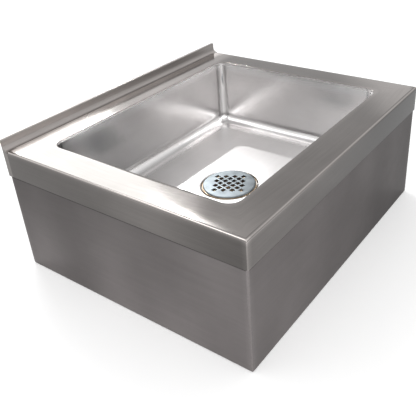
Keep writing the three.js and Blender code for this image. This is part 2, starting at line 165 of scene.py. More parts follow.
class FinishColours(bpy.types.PropertyGroup):
    """Colours of the metals, rubber and fibre."""

    # Painted shade and light: the deck and skirt steel are set far darker, and the bowl steel far lighter, than
    # the one stainless they all are. The darkness stands for the dark surroundings that the outside mirrors,
    # and the lightness for the bright light in the bowl.
    deck: colour("Deck steel", "Brushed steel of the deck", (0.178, 0.166, 0.160))
    skirt: colour("Skirt steel", "Brushed steel of the skirt", (0.158, 0.146, 0.145))
    bowl: colour("Bowl steel", "Bright steel of the bowl", (0.785, 0.77, 0.768))
    weld: colour("Weld steel", "Ground weld metal", (0.72, 0.71, 0.705))
    plate: colour("Mill steel", "Mill finish of the hidden sheets", (0.27, 0.262, 0.255))
    strainer: colour("Strainer steel", "Stamped steel of the strainer", (0.195, 0.217, 0.232))
    brass: colour("Brass", "Cast brass of the drain", (0.52, 0.40, 0.28))
    rubber: colour("Rubber", "Black rubber of the seals", (0.018, 0.018, 0.017))
    fibre: colour("Fibre", "Pressed fibre of the friction washer", (0.24, 0.16, 0.09))


class StageSettings(bpy.types.PropertyGroup):
    """Floor and lights of the studio."""

    floor: colour("Floor", "Colour of the pale floor", (0.97, 0.97, 0.97))
    surround: level("Surround", "Strength of the even white surround", 0.80)
    low_panel: level("Low panel", "Radiance of the low panel behind", 4.2)
    left_strip: level("Left strip", "Radiance of the strip at the left", 2.6)
    front_strip: level("Front strip", "Radiance of the strip in front", 3.2)
    high_lamp: level("High lamp", "Light of the high lamp on the bowl", 1.3)


# ---------- Meshes from arrays ----------


def grid_faces(rows, columns):
    """Corner numbers of the quads between neighbouring points of a grid."""
    first = (np.arange(rows - 1)[:, None] * columns + np.arange(columns - 1)).ravel()
    return np.stack([first, first + 1, first + columns + 1, first + columns], axis=1)


def mesh_piece(name, points, faces, layers):
    """An object from one array of points and one of quads, with doubles merged and faces turned outwards.

    layers gives a value for each point: "grain" is where it lies on the flat sheet, along and across the
    brushing, "dressed" is 1 where a weld or an edge was ground, and on the apron's bend it is a painted
    highlight,
    "tone" makes the metal lighter or darker, mostly as painted light and shade and partly as
    random unevenness in the sheet's colour, and "matt" adds to its roughness. A layer that is left out has the
    value in PLAIN."""
    mesh = bpy.data.meshes.new(name)
    mesh.vertices.add(len(points))
    mesh.vertices.foreach_set("co", np.ascontiguousarray(points, np.float32).ravel())
    mesh.loops.add(faces.size)
    mesh.loops.foreach_set("vertex_index", faces.astype(np.int32).ravel())
    mesh.polygons.add(len(faces))
    mesh.polygons.foreach_set("loop_start", np.arange(0, faces.size, 4, dtype=np.int32))
    mesh.update(calc_edges=True)
    grain = mesh.uv_layers.new(name="grain")
    grain.data.foreach_set("uv", layers["grain"][faces.ravel()].astype(np.float32).ravel())
    for key, plain in PLAIN.items():
        values = layers.get(key, np.full(len(points), plain)).astype(np.float32)
        mesh.attributes.new(key, "FLOAT", "POINT").data.foreach_set("value", values)
    shell = bmesh.new()
    shell.from_mesh(mesh)
    bmesh.ops.remove_doubles(shell, verts=shell.verts, dist=2e-6)
    bmesh.ops.dissolve_degenerate(shell, edges=shell.edges, dist=1e-6)
    bmesh.ops.recalc_face_normals(shell, faces=shell.faces)
    shell.to_mesh(mesh)
    shell.free()
    mesh.shade_smooth()
    mesh.set_sharp_from_angle(angle=SHARP)
    piece = bpy.data.objects.new(name, mesh)
    bpy.context.scene.collection.objects.link(piece)
    return piece


def grid_shell(grid, grain, **looks):
    """Points, quads and layers of one grid. Each of the looks is a layer that broadcasts over it."""
    layers = {key: np.broadcast_to(values, grid.shape[:2]).ravel() for key, values in looks.items()}
    return grid.reshape(-1, 3), grid_faces(*grid.shape[:2]), {"grain": grain.reshape(-1, 2), **layers}


def sheet_shell(face, back, grain, closed=False, **looks):
    """Points, quads and layers of a sheet from the grid of its face and the grid of its back.

    The face's rows, the back's rows in reverse and the face's first row again make a loop round the section.
    Where the columns aren't closed, the section is capped at both ends by quads from face to back."""
    count, columns = face.shape[:2]
    turn = np.r_[:count, count - 1 : -1 : -1, 0]
    looks = {key: np.broadcast_to(values, (count, columns))[turn] for key, values in looks.items()}
    points, faces, layers = grid_shell(np.concatenate([face, back[::-1], face[:1]]), grain[turn], **looks)
    if not closed:
        near = np.arange(count - 1)
        far = 2 * count - 1 - near
        cap = np.stack([near, near + 1, far - 1, far], axis=1) * columns
        faces = np.concatenate([faces, cap, cap + columns - 1])
    return points, faces, layers


def joined(shells):
    """Several shells of points, quads and layers as one."""
    points, faces, start = [], [], 0
    layers = {key: [] for key in ("grain", *PLAIN)}
    for shell_points, shell_faces, shell_layers in shells:
        count = len(shell_points)
        points.append(shell_points)
        faces.append(shell_faces + start)
        start += count
        for key, values in layers.items():
            values.append(shell_layers[key] if key in shell_layers else np.full(count, PLAIN[key]))
    return np.concatenate(points), np.concatenate(faces), {k: np.concatenate(v) for k, v in layers.items()}


def finished(name, shell, body, finish, slot, *nodes):
    """The shell as an object that has its finish, rides on its body and stands for its nodes. The slot is not
    used.
    """
    piece = mesh_piece(name, *shell)
    piece.data.materials.append(finish_named(finish))
    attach(piece, body)
    if nodes:
        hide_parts(*nodes)


# ---------- Curves on the flat ----------


def unit(angle):
    """Unit vectors at some angles in radians: (cos, sin)."""
    return np.column_stack([np.cos(angle), np.sin(angle)])


def arc(centre_x, centre_y, radius, start, end, steps):
    """Points of a circular arc from one angle in degrees to another: centre + radius * (cos, sin)."""
    return [centre_x, centre_y] + radius * unit(np.radians(np.linspace(start, end, steps + 1)))


def at_height(plan, height):
    """Points of a plan at one height."""
    return np.column_stack([plan, np.full(len(plan), height)])


def lengths(line):
    """How far along a line each of its points lies: the running sum of its spans."""
    return np.concatenate([[0], np.cumsum(np.linalg.norm(np.diff(line, axis=0), axis=1))])


def ease(value, start=0.0, width=1.0):
    """Smooth step: 3 t squared less 2 t cubed, where t is how much of the width from the start is passed."""
    t = np.clip((value - start) / width, 0, 1)
    return t * t * (3 - 2 * t)


def bell(value, middle, width):
    """A bell curve: e to the power of minus the square of (value - middle) / width."""
    return np.exp(-(((value - middle) / width) ** 2))


def ripple(points, wavelength, seed):
    """A smooth wave between about -1 and 1 at each point: the mean of ten plane waves of seeded
    directions and phases, with wavelengths about the given one."""
    draw = np.random.default_rng(seed)
    waves = draw.normal(size=(10, 3))
    waves /= np.linalg.norm(waves, axis=1, keepdims=True)
    waves *= (2 * math.pi / wavelength) * draw.uniform(0.6, 1.6, size=(10, 1))
    phases = draw.uniform(0, 2 * math.pi, size=10)
    return np.sin(points @ waves.T + phases).sum(axis=-1) / math.sqrt(20)


class Outline:
    """A rectangle with round corners, given side by side and anticlockwise at any inset.

    Side k goes from the middle of one corner to the middle of the next, so a sheet can be mitred there.
    At an inset the rectangle shrinks on all sides by it and so does the corner radius, down to none."""

    def __init__(self, low, high, radius, corner_steps, edge_steps):
        self.low, self.high, self.radius = np.array(low, float), np.array(high, float), radius
        self.corner_steps, self.edge_steps = corner_steps, edge_steps

    def round_centre(self, k, inset, radius):
        """The centre of corner k's round: the corner, moved in by the radius both ways."""
        corner = np.where(INWARD[k] > 0, self.low + inset, self.high - inset)
        return corner + INWARD[k] * radius

    def side(self, k, inset, radius):
        """Points of side k: half of one round, a straight run and half of the next round."""
        start, end = (self.round_centre(corner % 4, inset, radius) for corner in (k, k + 1))
        start = arc(*start, radius, 90 * k + 225, 90 * k + 270, self.corner_steps)
        end = arc(*end, radius, 90 * k + 270, 90 * k + 315, self.corner_steps)
        t = np.linspace(0, 1, self.edge_steps + 1)[1:-1, None]
        return np.concatenate([start, start[-1] + (end[0] - start[-1]) * t, end])

    def sides(self, which, inset=0.0, radius=None):
        """Several sides one after another, with the mitre's point repeated, and how far along each lies."""
        radius = max(self.radius - inset, 0.0) if radius is None else radius
        parts = [self.side(k, inset, radius) for k in which]
        return np.concatenate(parts), np.concatenate([part[:, k % 2] for k, part in zip(which, parts)])

    def normals(self):
        """The outward normal at each point of the four sides: it turns with each round."""
        half = np.linspace(0, 45, self.corner_steps + 1)
        side = np.concatenate([half - 45, np.zeros(self.edge_steps - 1), half])
        return unit(np.radians(np.tile(side, 4) + np.repeat(np.arange(4) * 90 - 90, len(side))))


def carried(outline, which, profile, radii=None):
    """A profile of (inset, height) points carried along sides of an outline: a grid of points and its grain.

    A grid point lies on the outline drawn in by the profile point's inset, at its height. Its grain is how far
    along its side it lies, and how far along the profile."""
    rows, marks = [], []
    reach = lengths(profile)
    for i, (inset, height) in enumerate(profile):
        plan, along = outline.sides(which, inset, None if radii is None else radii[i])
        rows.append(at_height(plan, height))
        marks.append(np.column_stack([along, np.full(len(plan), reach[i])]))
    return np.array(rows), np.array(marks)


def bent_line(corners, radii, offset):
    """A line through corners with each inner corner rounded, and set off to its left by an offset.

    Each arc keeps its centre, so its radius is the middle line's radius less the offset on the inner side."""
    corners = np.array(corners, float)
    ways = np.diff(corners, axis=0)
    ways /= np.linalg.norm(ways, axis=1, keepdims=True)
    lefts = ways[:, ::-1] * [-1, 1]
    line = [corners[:1] + offset * lefts[0]]
    for corner, before, left, after, radius in zip(corners[1:-1], ways, lefts, ways[1:], radii):
        turn = math.atan2(before[0] * after[1] - before[1] * after[0], before @ after)
        hand = math.copysign(1, turn)
        start = corner - before * radius * math.tan(abs(turn) / 2)
        centre = start + left * radius * hand
        arm = (start - centre) * (1 - offset * hand / radius)
        spin = unit(np.linspace(0, turn, BEND_STEPS + 1))
        line.append(centre + spin[:, :1] * arm + spin[:, 1:] * [-arm[1], arm[0]])
    return np.concatenate([*line, corners[-1:] + offset * lefts[-1]])


# ---------- Materials ----------


class Nodes:
    """A short way to write the nodes of a material or a world, whose last shader is given by name."""

    def __init__(self, owner, shader):
        owner.use_nodes = True
        self.tree = owner.node_tree
        self.shader = self.tree.nodes[shader]

    def add(self, kind, inputs=(), **settings):
        """A node with its settings, and its inputs given as values or as other nodes' outputs."""
        node = self.tree.nodes.new(kind)
        for key, value in settings.items():
            setattr(node, key, value)
        for key, value in dict(inputs).items():
            self.put(node.inputs[key], value)
        return node

    def put(self, socket, value):
        """Links an output to a socket, or sets the socket's own value."""
        if isinstance(value, bpy.types.NodeSocket):
            self.tree.links.new(value, socket)
        else:
            socket.default_value = value

    def surface(self, inputs):
        """Gives the last shader its inputs."""
        for key, value in inputs.items():
            self.put(self.shader.inputs[key], value)

    def place(self):
        """Object coordinates."""
        return self.add("ShaderNodeTexCoord").outputs["Object"]

    def layer(self, name):
        """One of the layers that a mesh carries."""
        return self.add("ShaderNodeAttribute", attribute_name=name).outputs["Fac"]

    def maths(self, operation, one, other):
        """A math node's output."""
        node = self.add("ShaderNodeMath", {0: one, 1: other}, operation=operation)
        return node.outputs[0]

    def total(self, first, *others):
        """The sum of several outputs or values."""
        for other in others:
            first = self.maths("ADD", first, other)
        return first

    def noise(self, place, scale, detail, roughness, stretch=None):
        """Noise from 0 to 1 at a place, with scale features to a metre, each axis stretched if asked."""
        if stretch is not None:
            place = self.add("ShaderNodeMapping", {"Vector": place, "Scale": stretch}).outputs[0]
        inputs = {"Vector": place, "Scale": scale, "Detail": detail, "Roughness": roughness}
        return self.add("ShaderNodeTexNoise", inputs).outputs["Fac"]

    def between(self, factor, low, high, bottom=0.0, top=1.0):
        """A factor from one range carried to another, and held in it."""
        inputs = {"Value": factor, "From Min": low, "From Max": high, "To Min": bottom, "To Max": top}
        return self.add("ShaderNodeMapRange", inputs).outputs[0]

    def blend(self, factor, one, other):
        """A colour between two colours."""
        node = self.add("ShaderNodeMix", {"Factor": factor}, data_type="RGBA", blend_type="MIX")
        for name, value in (("A", one), ("B", other)):
            socket = next(s for s in node.inputs if s.name == name and s.type == "RGBA")
            self.put(socket, value if isinstance(value, bpy.types.NodeSocket) else (*value, 1.0))
        return next(s for s in node.outputs if s.type == "RGBA")

    def bump(self, height, distance, strength):
        """A normal that follows a height."""
        inputs = {"Height": height, "Distance": distance, "Strength": strength}
        return self.add("ShaderNodeBump", inputs).outputs[0]

    def seen(self):
        """1 for the rays of the camera and those that are mirrored or pass through, and 0 for others."""
        path = self.add("ShaderNodeLightPath").outputs
        thrown = self.maths("MAXIMUM", path["Is Glossy Ray"], path["Is Transmission Ray"])
        return self.maths("MAXIMUM", path["Is Camera Ray"], thrown)


def shade(base, amount):
    """A colour made lighter or darker by a factor."""
    return tuple(min(1.0, c * amount) for c in base)


def steel(n, base, rough, streak=0.10, patch=0.03, own_grain=True, wave=0.00003, edge=1.0):
    """Stainless sheet: long brushing streaks, cloudy smudges, fine scratches and dressed welds and edges.

    streak and patch are how far the brushing changes the colour and the smudges the roughness. With its own
    grain the brushing follows the sheet, and the mesh's layers are read, painted light and shade among them.
    wave is the height of its unevenness, and edge is how much of its gloss the sheet keeps at a flat angle of
    view."""
    place = n.place()
    along = n.add("ShaderNodeUVMap", uv_map="grain").outputs[0] if own_grain else place
    across = np.array([9.0, 900.0, 1.0] if own_grain else [9.0, 260.0, 260.0])
    fine = n.noise(along, 1.0, 3.0, 0.6, across)
    broad = n.noise(along, 1.0, 2.0, 0.5, across * [0.5, 0.12, 0.12])
    streaks = n.total(n.maths("MULTIPLY", fine, 0.6), n.maths("MULTIPLY", broad, 0.4))
    cloud = n.noise(place, 11.0, 4.0, 0.55)
    smear = n.noise(place, 34.0, 5.0, 0.62)
    uneven = n.total(n.between(streaks, 0.3, 0.7, -streak, streak), n.between(cloud, 0.3, 0.7, -0.05, 0.05))
    tinted = n.blend(n.between(uneven, -0.15, 0.15), shade(base, 0.84), shade(base, 1.16))
    smudges = n.between(smear, 0.4, 0.75, -0.3 * patch, patch)
    roughness = n.total(smudges, n.between(streaks, 0.3, 0.7, -0.6 * patch, 0.6 * patch), rough)
    if own_grain:
        # Dressed metal is made lighter; on the apron's bend this is a painted highlight.
        grinding = n.between(n.noise(place, 420.0, 2.0, 0.6), 0.35, 0.6, 0.45, 1.0)
        ground = n.maths("MULTIPLY", n.layer("dressed"), grinding)
        tinted = n.blend(ground, tinted, shade(base, 1.3))
        # This layer scales the colour: it carries painted light and shade as well as the sheet's own uneven
        # tone.
        toned = {"Vector": tinted, "Scale": n.layer("tone")}
        tinted = n.add("ShaderNodeVectorMath", toned, operation="SCALE").outputs[0]
        roughness = n.total(roughness, n.layer("matt"))
    height = n.total(n.maths("MULTIPLY", streaks, 0.25), cloud)
    n.surface(
        {
            "Base Color": tinted,
            "Roughness": n.maths("MAXIMUM", roughness, 0.05),
            "Normal": n.bump(height, wave * 10, 0.35),
            "Metallic": 1.0,
            "Specular Tint": (edge, edge, edge, 1.0),
        }
    )


def cast_metal(n, base, rough):
    """Cast and turned metal: turning marks, tarnish in patches and a slight grain."""
    place = n.place()
    turning = n.noise(place, 1.0, 2.0, 0.5, (30.0, 30.0, 2200.0))
    tarnish = n.noise(place, 70.0, 5.0, 0.6)
    grit = n.noise(place, 900.0, 2.0, 0.5)
    worn = n.total(n.between(tarnish, 0.4, 0.7, 0.0, 0.18), n.between(turning, 0.3, 0.7, -0.06, 0.06))
    height = n.total(turning, n.maths("MULTIPLY", grit, 0.5))
    n.surface(
        {
            "Base Color": n.blend(n.between(tarnish, 0.42, 0.68), base, shade(base, 0.4)),
            "Roughness": n.total(worn, rough),
            "Normal": n.bump(height, 0.00006, 0.6),
            "Metallic": 1.0,
        }
    )


def soft_stuff(n, base, rough, grain):
    """Moulded rubber or pressed fibre: a fine grain and dusty patches."""
    place = n.place()
    grit = n.noise(place, grain, 3.0, 0.6)
    dust = n.noise(place, 60.0, 4.0, 0.6)
    n.surface(
        {
            "Base Color": n.blend(n.between(dust, 0.4, 0.75), shade(base, 0.9), shade(base, 1.8)),
            "Roughness": n.between(grit, 0.3, 0.7, rough - 0.1, rough + 0.08),
            "Normal": n.bump(grit, 0.00012, 0.7),
        }
    )


# Each finish: how it is made, its colour, how much lighter that is made, and its settings.
FINISHES = {
    "deck_brushed": (steel, "deck", 1.0, {"rough": 0.115, "patch": 0.02, "wave": 0.00001, "edge": 0.88}),
    "skirt_brushed": (steel, "skirt", 1.0, {"rough": 0.32, "streak": 0.07, "wave": 0.00002, "edge": 0.6}),
    "skirt_weld": (steel, "skirt", 1.15, {"rough": 0.36, "wave": 0.00002, "edge": 0.6}),
    "bowl_bright": (steel, "bowl", 1.0, {"rough": 0.25, "streak": 0.03, "patch": 0.012, "wave": 0.000003}),
    "weld_ground": (steel, "weld", 1.0, {"rough": 0.30, "wave": 0.000005}),
    "sheet_mill": (steel, "plate", 1.0, {"rough": 0.42, "own_grain": False}),
    "strainer_stamped": (steel, "strainer", 1.0, {"rough": 0.48, "streak": 0.18, "patch": 0.08}),
    "clip_spring": (steel, "strainer", 1.0, {"rough": 0.34, "own_grain": False}),
    "brass_cast": (cast_metal, "brass", 1.0, {"rough": 0.30}),
    "rubber_black": (soft_stuff, "rubber", 1.0, {"rough": 0.62, "grain": 1400.0}),
    "fibre_pressed": (soft_stuff, "fibre", 1.0, {"rough": 0.85, "grain": 900.0}),
}


def finish_named(name):
    """The material of that name, made when it is first asked for."""
    material = bpy.data.materials.get(name)
    if material is None:
        material = bpy.data.materials.new(name)
        make, key, lighter, settings = FINISHES[name]
        base = shade(getattr(bpy.context.scene.sink_colours, key), lighter)
        make(Nodes(material, "Principled BSDF"), base, **settings)
    return material


# ---------- Pieces ----------


def deck_top(d):
    """The height of the deck's top face: the top of the deck node's box less the upturn."""
    return DECK_HIGH[2] - d.upturn


def bowl_outline(b):
    """The bowl's inner walls in plan: the bowl node's box less its flange."""
    return Outline(BOWL_LOW[:2] + b.flange, BOWL_HIGH[:2] - b.flange, b.corner, 12, 44)


class SINK_OT_deck(bpy.types.Operator):
    """Deck sheet with its opening, bends, aprons and upturn"""

    bl_idname = "sink.deck"
    bl_label = "Deck"

    def execute(self, context):
        d, b = context.scene.sink_deck, context.scene.sink_bowl
        top = deck_top(d)
        drop = top - d.apron
        wall = DECK_HIGH[1] - d.turn_back
        cove_start = wall - d.sheet - d.cove
        shells = [
            deck_field(bowl_outline(b), d, top, cove_start),
            apron_strip(d, top, drop, cove_start),
            upturn_bar(d, top, wall, cove_start),
        ]
        for x in (DECK_LOW[0], DECK_HIGH[0] - d.sheet):
            shells.append(end_plate(x, d, top, drop, wall, cove_start))
        points, faces, layers = joined(shells)
        shell = (rolled_off(points, top, drop), faces, layers)
        finished("deck_sheet", shell, "sink", "deck_brushed", "sheet_steel", "deck")
        return {"FINISHED"}


def deck_field(opening, d, top, cove_start):
    """The deck's flat field: a quarter round up the opening's edge, and then a straight blend from the opening
    out to a plain rectangle where the bends start. Its underside is the same grid, one sheet lower."""
    edge = arc(-d.opening_edge, top - d.opening_edge, d.opening_edge, 0, 90, 5)
    face, grain = carried(opening, range(4), edge)
    low = DECK_LOW[:2] + d.bend + LEAD
    high = [DECK_HIGH[0] - d.bend - LEAD, cove_start - LEAD]
    outer = Outline(low, high, 0.0, opening.corner_steps, opening.edge_steps).sides(range(4))[0]
    field = face[-1] + (at_height(outer, top) - face[-1]) * np.linspace(0, 1, 13)[1:, None, None]
    out = grain[-1, :, 1] + np.linalg.norm(field - face[-1], axis=2)
    side = np.repeat(range(4), len(outer) // 4)
    lengthwise = np.where(side % 2 == 0, field[..., 0], field[..., 1])
    grain = np.concatenate([grain, np.stack([lengthwise, out], axis=2)])
    face = np.concatenate([face, field])

    # Under the round edge, the underside's rows are spread over the start of the field.
    count = len(edge)
    under = face.copy()
    spread = np.linspace(0, 0.25, count)[:, None, None]
    under[:count, :, :2] = face[0, :, :2] + (face[count, :, :2] - face[0, :, :2]) * spread
    under[..., 2] = top - d.sheet
    dressed = np.interp(np.arange(len(face)), [count - 1, count + 1], [1, 0])[:, None]

    # Painted reflections: the field is made lighter behind the bowl, along the upturn and at its front corners,
    # where the deck mirrors bright light. Along the upturn's left half it is lightest and also matt.
    x, y = face[..., 0], face[..., 1]
    reflection_behind_bowl = ease(y, opening.high[1] - 0.01, 0.02) * (1 - 0.43 * ease(x, 0.0, 0.25))
    left_half = 1 - ease(x, -0.17, 0.11)
    upturn_reflection_left = ease(y, cove_start - 0.034, 0.012) * left_half
    upturn_reflection_right = ease(y, cove_start - 0.026, 0.014) * (1 - left_half)
    front_right = ease(x - y, 0.36, 0.17)
    front_left = bell(x, DECK_LOW[0], 0.055) * bell(y, DECK_LOW[1], 0.12)
    tone = 1 + 1.5 * reflection_behind_bowl + 2.8 * upturn_reflection_left + 2.4 * upturn_reflection_right
    tone += front_right + 0.5 * front_left
    matt = upturn_reflection_left * (0.18 + 0.08 * ease(y, cove_start - 0.014, 0.012))
    return sheet_shell(face, under, grain, closed=True, dressed=dressed, tone=tone, matt=matt)


def apron_strip(d, top, drop, cove_start):
    """The bend and drop of the apron, carried along the left, front and right sides.

    The plan's corner radius grows as the bend comes out, in step with it, so the corner is a ground ball."""
    outline = Outline(DECK_LOW[:2], [DECK_HIGH[0], cove_start - LEAD], d.apron_corner, 6, 60)
    bend_steps, drop_steps = 10, 12
    bend, inner_bend = (arc(d.bend, top - d.bend, r, 90, 180, bend_steps) for r in (d.bend, d.bend - d.sheet))
    below = np.column_stack([np.zeros(drop_steps), np.linspace(top - d.bend, drop, drop_steps + 1)[1:]])
    outer = np.concatenate([[[d.bend + LEAD, top]], bend, below])
    inner =np.concatenate([[[d.bend + LEAD, top - d.sheet]], inner_bend, below + [d.sheet, 0]])
    radii = d.apron_corner * np.clip(1 - outer[:, 0] / (d.bend + LEAD), 0, 1)
    which = [LEFT, FRONT, RIGHT]
    face, grain = carried(outline, which, outer, radii)
    back = carried(outline, which, inner, np.maximum(radii - d.sheet, 0.0))[0]
    # The left side starts and the right side ends square, at the upturn.
    first, last = outline.corner_steps, face.shape[1] - outline.corner_steps - 1
    for grid in (face, back):
        for end, mark in ((slice(0, first + 1), first), (slice(last, None), last)):
            grid[:, end, 1] = outline.high[1]
            grid[:, end, 0] = grid[:, mark, 0][:, None]
    # A painted highlight along the bend's crest, carried as dressed metal.
    dressed = np.zeros((len(face), 1))
    dressed[1 : bend_steps + 2, 0] = 0.6 * np.sin(np.linspace(0, math.pi, bend_steps + 1))
    return sheet_shell(face, back, grain, dressed=dressed, tone=apron_painted_light(face, d))


def apron_painted_light(face, d):
    """The apron's painted light and shade. A painted highlight makes the bend bright, most at the left. Painted
    shade darkens the upright aprons; the front's apron is lighter at its left end and far darker towards its
    right, and painted highlights lighten part of the left apron and the ground corner at the front's left."""
    rows = np.arange(len(face))[:, None]
    x, y = face[..., 0], face[..., 1]
    start = 9  # The row where the bend has all but turned down.
    bend = 0.9 + 1.1 * (x < DECK_LOW[0] + d.bend)
    front, left = y < DECK_LOW[1] + d.sheet, x < DECK_LOW[0] + d.sheet
    corner_highlight = bell(np.linalg.norm(face[..., :2] - DECK_LOW[:2], axis=2), 0.0, 0.0025)
    upright = 0.8 + front * (0.55 - 1.1 * ease(x, DECK_LOW[0], 0.55))
    upright = upright * (1 + 0.55 * left * bell(y, -0.09, 0.09))
    upright = upright * (1 + (0.9 - 0.4 * ease(rows, start, 8)) * corner_highlight)
    tone = 1 - 0.3 * ease(rows, start, 4) + bend * bell(rows, 5, 2.0)
    return tone * np.where(rows < start, 1, upright)


def upturn_bar(d, top, wall, cove_start):
    """The upturn's cove, rise and hem: a bent section of (y, z) points carried straight along X."""
    half = d.sheet / 2
    hem, crest = DECK_HIGH[1] - half, DECK_HIGH[2] - half
    corners = [(cove_start - LEAD, top - half), (wall - half, top - half), (wall - half, crest)]
    corners += [(hem, crest), (hem, DECK_HIGH[2] - d.turn_down)]
    hem_bend = 0.001 + half
    face, back = (bent_line(corners, [d.cove + half, hem_bend, hem_bend], side) for side in (half, -half))
    run = np.linspace(0, 1, 81)
    x = DECK_LOW[0] + run * (DECK_HIGH[0] - DECK_LOW[0])
    reach = lengths(face)
    grids = []
    for line in (face, back):
        grids.append(np.stack([np.tile(x, (len(line), 1)), *np.repeat(line.T[..., None], len(x), 2)], axis=2))
    grain = np.stack(np.meshgrid(x, reach), axis=2)
    # Painted highlight: the upturn is made lighter than the deck, most at its left end and in the cove, and it
    # is matt.
    rise = ease(reach, 0.006, 0.012)[:, None]
    tone = 1 + rise * (1.3 - ease(run, 0.1, 0.62)) + 1.3 * bell(reach, 0.005, 0.006)[:, None]
    return sheet_shell(*grids, grain, tone=tone, matt=0.26)


def end_plate(x, d, top, drop, wall, cove_start):
    """The plate that closes the apron's end under the cove, from the apron's foot to the cove's middle line."""
    curve = arc(cove_start, top + d.cove, d.cove + d.sheet / 2, 270, 360, 10)
    upper = np.concatenate([[[cove_start - LEAD, top - d.sheet / 2]], curve])
    upper[:, 0] = np.minimum(upper[:, 0], wall)
    grain = np.stack([np.column_stack([upper[:, 0], np.full(len(upper), drop)]), upper])
    grids = [np.insert(grain, 0, side, axis=2) for side in (x, x + d.sheet)]
    return sheet_shell(*grids, grain)


def rolled_off(points, top, drop, reach=0.022, depth=0.0005):
    """The deck's points let down a little towards its left, front and right edges, where bending drew it.

    The drop grows as the square of the way in to the edge, and fades down the apron."""
    x, y, z = points.T
    inward = np.min([x - DECK_LOW[0], y - DECK_LOW[1], DECK_HIGH[0] - x], axis=0)
    let_down = depth * np.clip(1 - inward / reach, 0, 1) ** 2
    kept = np.clip((z - drop) / (top - 0.006 - drop), 0, 1) * (z <= top + 1e-6)
    return np.column_stack([x, y, z - let_down * kept])


class SINK_OT_bowl(bpy.types.Operator):
    """Coved bowl with its flange, pitched floor and pressed drain recess, and the dressed weld round its rim"""

    bl_idname = "sink.bowl"
    bl_label = "Bowl"

    def execute(self, context):
        d, b = context.scene.sink_deck, context.scene.sink_bowl
        outline = bowl_outline(b)
        top = deck_top(d)
        rim = top - d.sheet - SHEET_GAP
        face, grain = bowl_grid(outline, b, rim, top - b.depth, 0.0)
        back, _ = bowl_grid(outline, b, rim, top - b.depth, d.sheet)
        shell = sheet_shell(face, back, grain, closed=True, **bowl_look(face, outline))
        finished("bowl_shell", shell, "sink", "bowl_bright", "bowl_steel", "bowl")
        weld = rim_weld(outline, top, top - d.sheet, rim - b.rim_bend)
        finished("rim_weld", weld, "sink", "weld_ground", "bowl_steel")
        return {"FINISHED"}


def rim_weld(outline, top, joint, foot, depth=0.0012):
    """A thin band carried round the opening, over the joint of deck and bowl, with both its edges turned in."""
    band = np.array([[-0.0002, top - (top - joint) * 0.8], [0.00005, joint], [0.0001, foot]])
    band = np.concatenate([band[:1] - [[depth, 0.0]], band, band[-1:] - [[depth, 0.0006]]])
    face, grain = carried(outline, range(4), band)
    back, _ = carried(outline, range(4), band - [[depth, 0.0]])
    return sheet_shell(face, back, grain, closed=True, dressed=1.0)


def bowl_grid(outline, b, rim, bottom, lift):
    """The bowl's inner face, or with a lift its outer one, as a grid from the flange's edge to the drain hole,
    and its grain. The flange, rim bend, wall and cove are a profile carried round the outline."""
    bend = arc(-b.rim_bend, rim - b.rim_bend, b.rim_bend - lift, 90, 0, RIM_ROWS - 3)
    bend[:, 0] = np.minimum(bend[:, 0], 0.0)
    inset = bend[-1, 0]
    flange = np.column_stack([np.linspace(-b.flange, -b.rim_bend, 3)[:-1], [rim - lift] * 2])
    wall = np.linspace(bend[-1, 1], bottom + b.cove, WALL_ROWS + 1)[1:]
    wall = np.column_stack([np.full(WALL_ROWS, inset), wall])
    cove = arc(b.cove, bottom + b.cove, b.cove + lift, 180, 270, COVE_ROWS)[1:]
    cove[:, 0] = np.maximum(cove[:, 0], inset)
    face, grain = carried(outline, range(4), np.concatenate([flange, bend, wall, cove]))
    lower = bowl_floor(face[-1, :, :2] - AXIS, b, bottom, lift)
    face = np.concatenate([face, lower])
    grain = np.concatenate([grain, lower[..., :2]])

    # The waves push walls and floor along their own normals, and die out at the rim and the recess.
    rows = np.arange(len(face))[:, None]
    fade = ease(rows, RIM_ROWS, 6) * ease(RECESS_START - rows, 0, 8)
    lean = np.clip((rows - COVE_START) / (COVE_ROWS - 1), 0, 1)
    wave = ripple(face, 0.16, 7) * b.ripple * fade * (1 - 0.75 * lean)
    face[..., 2] += wave * lean
    face[..., :2] += outline.normals() * (wave * (1 - lean) ** 2)[..., None]
    return face, grain


def bowl_floor(foot, b, bottom, lift):
    """The floor and the recess, as rows from the cove's foot, given from the drain's axis, to the drain hole.

    The floor is a straight blend of rounded rectangle and circle while its height eases down by the fall.
    The recess is a lip, a fillet and a flat turned about the drain's axis."""
    drain_floor = bottom - b.fall
    recess_floor = drain_floor - b.recess_lip - b.recess_fillet
    recess_radius = b.recess_flat + b.recess_fillet + b.recess_lip
    turned = np.concatenate(
        [
            arc(recess_radius, drain_floor - b.recess_lip, b.recess_lip - lift, 90, 180, 8),
            arc(b.recess_flat, recess_floor + b.recess_fillet, b.recess_fillet + lift, 0, -90, 6),
            at_height(np.linspace(b.recess_flat, b.drain_hole, 5)[1:], recess_floor - lift),
        ]
    )
    quarter = np.linspace(-45, 45, len(foot) // 4)
    even = np.radians(np.tile(quarter, 4) + 90 * np.repeat(range(4), len(quarter)) - 90)
    own = np.unwrap(np.arctan2(foot[:, 1], foot[:, 0]))
    own = own + 2 * math.pi * np.round((even - own) / (2 * math.pi))
    rows = []
    for t in np.linspace(0, 1, FLOOR_ROWS + 2)[1:-1]:
        circle = unit(own + (even - own) * t) * recess_radius
        rows.append(at_height(foot + (circle - foot) * t + AXIS, bottom - lift - b.fall * ease(t)))
    rows += [at_height(unit(even) * radius + AXIS, height) for radius, height in turned]
    return np.array(rows)


